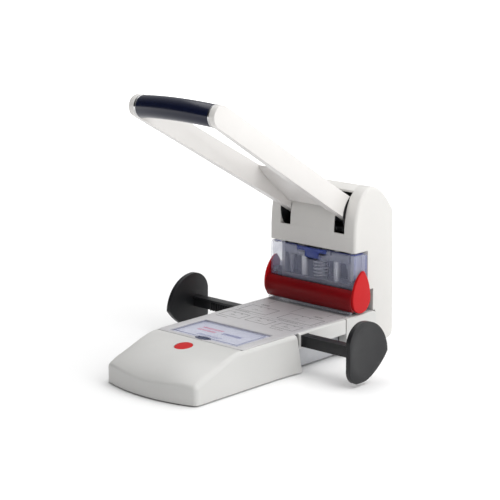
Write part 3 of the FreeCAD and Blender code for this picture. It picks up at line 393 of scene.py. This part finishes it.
# Painted shade: the column's and rear cover's inside faces get near-black, standing in for the shade in
# there.
second_material(SOFT["column_housing"], "painted_shade_inside", painted_shade_in_column)
second_material(SOFT["rear_cover"], "painted_shade_inside", painted_shade_in_rear_cover)
second_material(SOFT["guard"], "guard_edge", rim_of_guard)


# ---------------------------------------------------------------- nose

CROWN_DROP = 8.0
CROWN_REAR_Y = -84.0
CROWN_LENGTH = 46.0
CROWN_FLOOR_Z = 8.0
CROWN_RISE = 14.0
CROWN_HALF_WIDTH = 60.0
CROWN_CUTS = (10, 20, 28, 36, 42, 47, 51, 54, 56)


def crown_nose(bm):
    """Let the dome fall away towards its sides: more at the front, not at all by the bed."""
    geometry = bm.verts[:] + bm.edges[:] + bm.faces[:]
    for x in CROWN_CUTS:
        for side in (-1, 1):
            cut = bmesh.ops.bisect_plane(bm, geom=geometry, plane_co=(side * x * MM, 0, 0),
                                         plane_no=(1, 0, 0))
            geometry = cut["geom"]
    for vert in bm.verts:
        forward = min(1.0, max(0.0, (CROWN_REAR_Y - vert.co.y / MM) / CROWN_LENGTH))
        lifted = min(1.0, max(0.0, vert.co.z / MM - CROWN_FLOOR_Z) / CROWN_RISE)
        sideways = min(1.0, abs(vert.co.x) / MM / CROWN_HALF_WIDTH) ** 3
        vert.co.z -= CROWN_DROP * MM * forward * forward * (3 - 2 * forward) * sideways * lifted


nose_bm = node_mesh("drawer_front")
crown_nose(nose_bm)
nose = new_piece("soft_drawer_front", nose_bm, BODY_OF["drawer_front"], SLOT_OF["drawer_front"])
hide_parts("drawer_front")


# ---------------------------------------------------------------- springs

def squeezed_spring(node):
    """The CAD coil in the spring's place, with a mesh of its own."""
    coil = new_piece("coil_" + node, joined_mesh(node), BODY_OF[node], SLOT_OF[node])
    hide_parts(node)
    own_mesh(coil)


squeezed_spring("return_spring")
squeezed_spring("button_spring")


# ---------------------------------------------------------------- printing on the bed and the label

INK = 0.00003


class Print:
    """Thin closed strips of ink that lie on a level face."""

    def __init__(self, node):
        low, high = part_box(node)
        self.centre = ((low[0] + high[0]) / 2, (low[1] + high[1]) / 2)
        self.z = high[2]
        self.bm = bmesh.new()

    def bar(self, x, y, width, depth):
        """A filled bar in millimetres from the face's centre, by its lower left corner and size."""
        x0, y0 = self.centre[0] + x * MM, self.centre[1] + y * MM
        add_box(self.bm, (x0, y0, self.z), (x0 + width * MM, y0 + depth * MM, self.z + INK))

    def frame(self, x, y, width, depth, line=0.6):
        self.bar(x, y, width, line)
        self.bar(x, y + depth - line, width, line)
        self.bar(x, y + line, line, depth - 2 * line)
        self.bar(x + width - line, y + line, line, depth - 2 * line)

    def dashes(self, x, y, count, rows=1, height=1.1):
        """Rows of short strokes, as small print that says nothing."""
        for row in range(rows):
            at = x
            for _ in range(count):
                width = random.choice((0.5, 0.8, 1.1))
                self.bar(at, y - row * height * 1.9, width, height)
                at += width + 0.45

    def holes(self, x, y, count, spacing):
        for index in range(count):
            self.frame(x + index * spacing, y, 1.8, 1.8, 0.4)

    def finish(self, name, body, slot, material):
        new_piece(name, self.bm, body, slot, material)


def sheet_diagram(ink, x, y, width, depth, punched):
    """A page outline with punched holes, a fold line and a size mark."""
    ink.frame(x, y, width, depth)
    ink.holes(x + width / 2 - 5.9, y + depth - 3.4, punched, 10.0)
    ink.bar(x + width * 0.3, y + depth * 0.35, width * 0.4, 0.3)
    ink.dashes(x + width * 0.36, y + depth * 0.45, 4)


def print_bed():
    """Generic page diagrams and guide lines behind the window, and marks along the plate's edges."""
    ink = Print("bed_plate")
    grey = moulded("ink_grey", (0.018, 0.018, 0.021), (0.03, 0.03, 0.034), (0.45, 0.6))
    for x in (-51, -15, 21):
        sheet_diagram(ink, x, 2, 29, 17, 2)
    for x, width in ((-49, 38), (4, 46)):
        sheet_diagram(ink, x, 30, width, 23, 2)
    ink.bar(-54, 24.4, 108, 0.3)
    ink.dashes(-50, 26.2, 16)
    ink.dashes(10, 26.2, 20)
    ink.dashes(-50, -3.5, 12)
    ink.dashes(24, -3.5, 14)
    ink.bar(-0.2, 54, 0.4, 26)
    for side in (-1, 1):
        for step in range(9):
            ink.bar(side * 53.5 - 1.2, 28 + step * 6, 2.4, 0.35)
        ink.dashes(side * 36 - 6, 60, 9, 2)
        ink.bar(side * 40 - 0.2, 68, 0.4, 13)
    ink.finish("plate_print", "base", "plate_silver", grey)


def print_label():
    """Generic colour bars on the card under the window."""
    pink = Print("label_card")
    pink.dashes(-32, 6.0, 22, 1, 4.6)
    pink.dashes(-32, -1.5, 20, 1, 4.6)
    pink.finish("label_print_red", "base", "card",
                moulded("ink_pink", (0.62, 0.13, 0.20), (0.70, 0.20, 0.27), (0.6, 0.75)))
    blue = Print("label_card")
    blue.dashes(0, 0.0, 22, 1, 5.6)
    blue.dashes(-20, -12, 26, 2, 1.3)
    blue.finish("label_print_blue", "base", "card",
                moulded("ink_blue", (0.04, 0.06, 0.20), (0.07, 0.09, 0.26), (0.6, 0.75)))


print_bed()
print_label()


# ---------------------------------------------------------------- window hinge line and painted shadow gap

def window_hinge_and_shadow_lines():
    """Dark hinge line along the lid's back and a painted shadow for the thin gap around the other three
    sides.
    """
    low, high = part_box("label_lid")
    line, inset, hinge = 0.0005, 0.0035, 0.005
    left, right = low[0] + inset, high[0] - inset
    front, rear = low[1] + inset, high[1] - hinge
    below, above = high[2] - 0.0004, high[2] + INK
    bm = bmesh.new()
    # Painted shadow: dark strips on the lid's top stand in for the shade in the gap around it.
    add_box(bm, (left, front, below), (right, front + line, above))
    for side in (left, right - line):
        add_box(bm, (side, front + line, below), (side + line, rear, above))
    add_box(bm, (left, rear, below), (right, rear + line, above))
    new_piece("window_line", bm, "lid", "tab_blue", MATERIALS["line_grey"])


def finger_recess():
    """Dark half oval in front of the lid, where a fingertip gets under its edge."""
    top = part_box("bed_plate")[1][2]
    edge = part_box("label_lid")[0][1]
    half_width, depth, steps = 0.0094, 0.0052, 24
    bm = bmesh.new()
    rings = []
    for z in (top, top + INK):
        turns = (math.pi * (1 + step / steps) for step in range(steps + 1))
        rings.append([bm.verts.new((half_width * math.cos(t), edge + depth * math.sin(t), z)) for t in turns])
    bm.faces.new(rings[0])
    bm.faces.new(rings[1])
    for i in range(steps + 1):
        after = (i + 1) % (steps + 1)
        bm.faces.new((rings[0][i], rings[0][after], rings[1][after], rings[1][i]))
    new_piece("finger_recess", bm, "base", "tab_blue")


window_hinge_and_shadow_lines()
finger_recess()


# ---------------------------------------------------------------- stage and camera

LIGHT_AIM = (0.0, 0.0, 0.1)
WORLD_BASE = 0.42
WORLD_SHARES = (((1, 0, 0), 0.42), ((0, 1, 0), 0.43), ((0, 0, 1), 0.30))
LENS = 125.2
CAMERA_PLACE = (1.1412, -1.2667, 0.5129)
CAMERA_DIRECTION = (-0.6532, 0.7227, -0.2258)


def floor_material():
    """Pale floor that glows a little, and more with distance, so it melts into the background."""
    s = Surface("floor")
    tone = s.mix(s.spread(s.noise(3.0, 2), 0.0, 1.0), (0.95, 0.95, 0.95), (0.931, 0.931, 0.931))
    s.link(tone, s.shader.inputs["Base Color"])
    s.fixed(Roughness=0.9, Emission_Color=(1.0, 1.0, 1.0, 1.0))
    away = s.node("VectorMath", operation="LENGTH")
    s.link(s.place, away.inputs[0])
    s.link(s.spread(away.outputs["Value"], 0.0, 1.0, 0.45, 1.6), s.shader.inputs["Emission Strength"])
    return s.material


def make_floor():
    bm = bmesh.new()
    reach = 6.0
    corners = [bm.verts.new((x * reach, y * reach, 0.0)) for x, y in ((-1, -1), (1, -1), (1, 1), (-1, 1))]
    bm.faces.new(corners)
    mesh = bpy.data.meshes.new("floor")
    bm.to_mesh(mesh)
    bm.free()
    floor = bpy.data.objects.new("floor", mesh)
    bpy.context.scene.collection.objects.link(floor)
    mesh.materials.append(floor_material())


def area_light(name, place, size, power):
    """A square softbox that faces the object."""
    data = bpy.data.lights.new(name, "AREA")
    data.shape = "SQUARE"
    data.size = size
    data.energy = power
    light = bpy.data.objects.new(name, data)
    bpy.context.scene.collection.objects.link(light)
    light.location = place
    light.rotation_euler = (Vector(LIGHT_AIM) - Vector(place)).to_track_quat("-Z", "Y").to_euler()


def make_world():
    """A white studio, brighter to the object's right, behind and above, and dim in front of it."""
    world = bpy.data.worlds.new("studio")
    bpy.context.scene.world = world
    world.use_nodes = True
    tree = world.node_tree
    make = tree.nodes.new
    direction = make("ShaderNodeTexCoord").outputs["Generated"]
    total = None
    for axis, share in WORLD_SHARES:
        dot = make("ShaderNodeVectorMath")
        dot.operation = "DOT_PRODUCT"
        dot.inputs[1].default_value = axis
        tree.links.new(direction, dot.inputs[0])
        part = make("ShaderNodeMath")
        part.operation = "MULTIPLY_ADD"
        part.inputs[1].default_value = share
        part.inputs[2].default_value = WORLD_BASE
        tree.links.new(dot.outputs["Value"], part.inputs[0])
        if total is not None:
            part.inputs[2].default_value = 0.0
            tree.links.new(total, part.inputs[2])
        total = part.outputs[0]
    limited = make("ShaderNodeClamp")
    limited.inputs["Min"].default_value = 0.05
    tree.links.new(total, limited.inputs["Value"])
    mix = make("ShaderNodeMix")
    mix.data_type = "RGBA"
    mix.inputs[7].default_value = (1, 1, 1, 1)
    tree.links.new(make("ShaderNodeLightPath").outputs["Is Camera Ray"], mix.inputs[0])
    tree.links.new(limited.outputs[0], mix.inputs[6])
    tree.links.new(mix.outputs[2], tree.nodes["Background"].inputs["Color"])


def make_lights():
    area_light("key_right", (1.5, 0.1, 1.1), 1.2, 9)
    area_light("top", (-0.1, 0.3, 1.7), 1.8, 18)
    bpy.context.scene.view_settings.view_transform = "Standard"


def make_camera():
    """The photograph's view, from a camera fitted to points on the photo."""
    data = bpy.data.cameras.new("camera")
    data.lens = LENS
    data.sensor_width = 36.0
    data.dof.use_dof = False
    camera = bpy.data.objects.new("camera", data)
    bpy.context.scene.collection.objects.link(camera)
    camera.location = CAMERA_PLACE
    camera.rotation_euler = Vector(CAMERA_DIRECTION).to_track_quat("-Z", "Y").to_euler()
    bpy.context.scene.camera = camera


make_floor()
make_world()
make_lights()
make_camera()
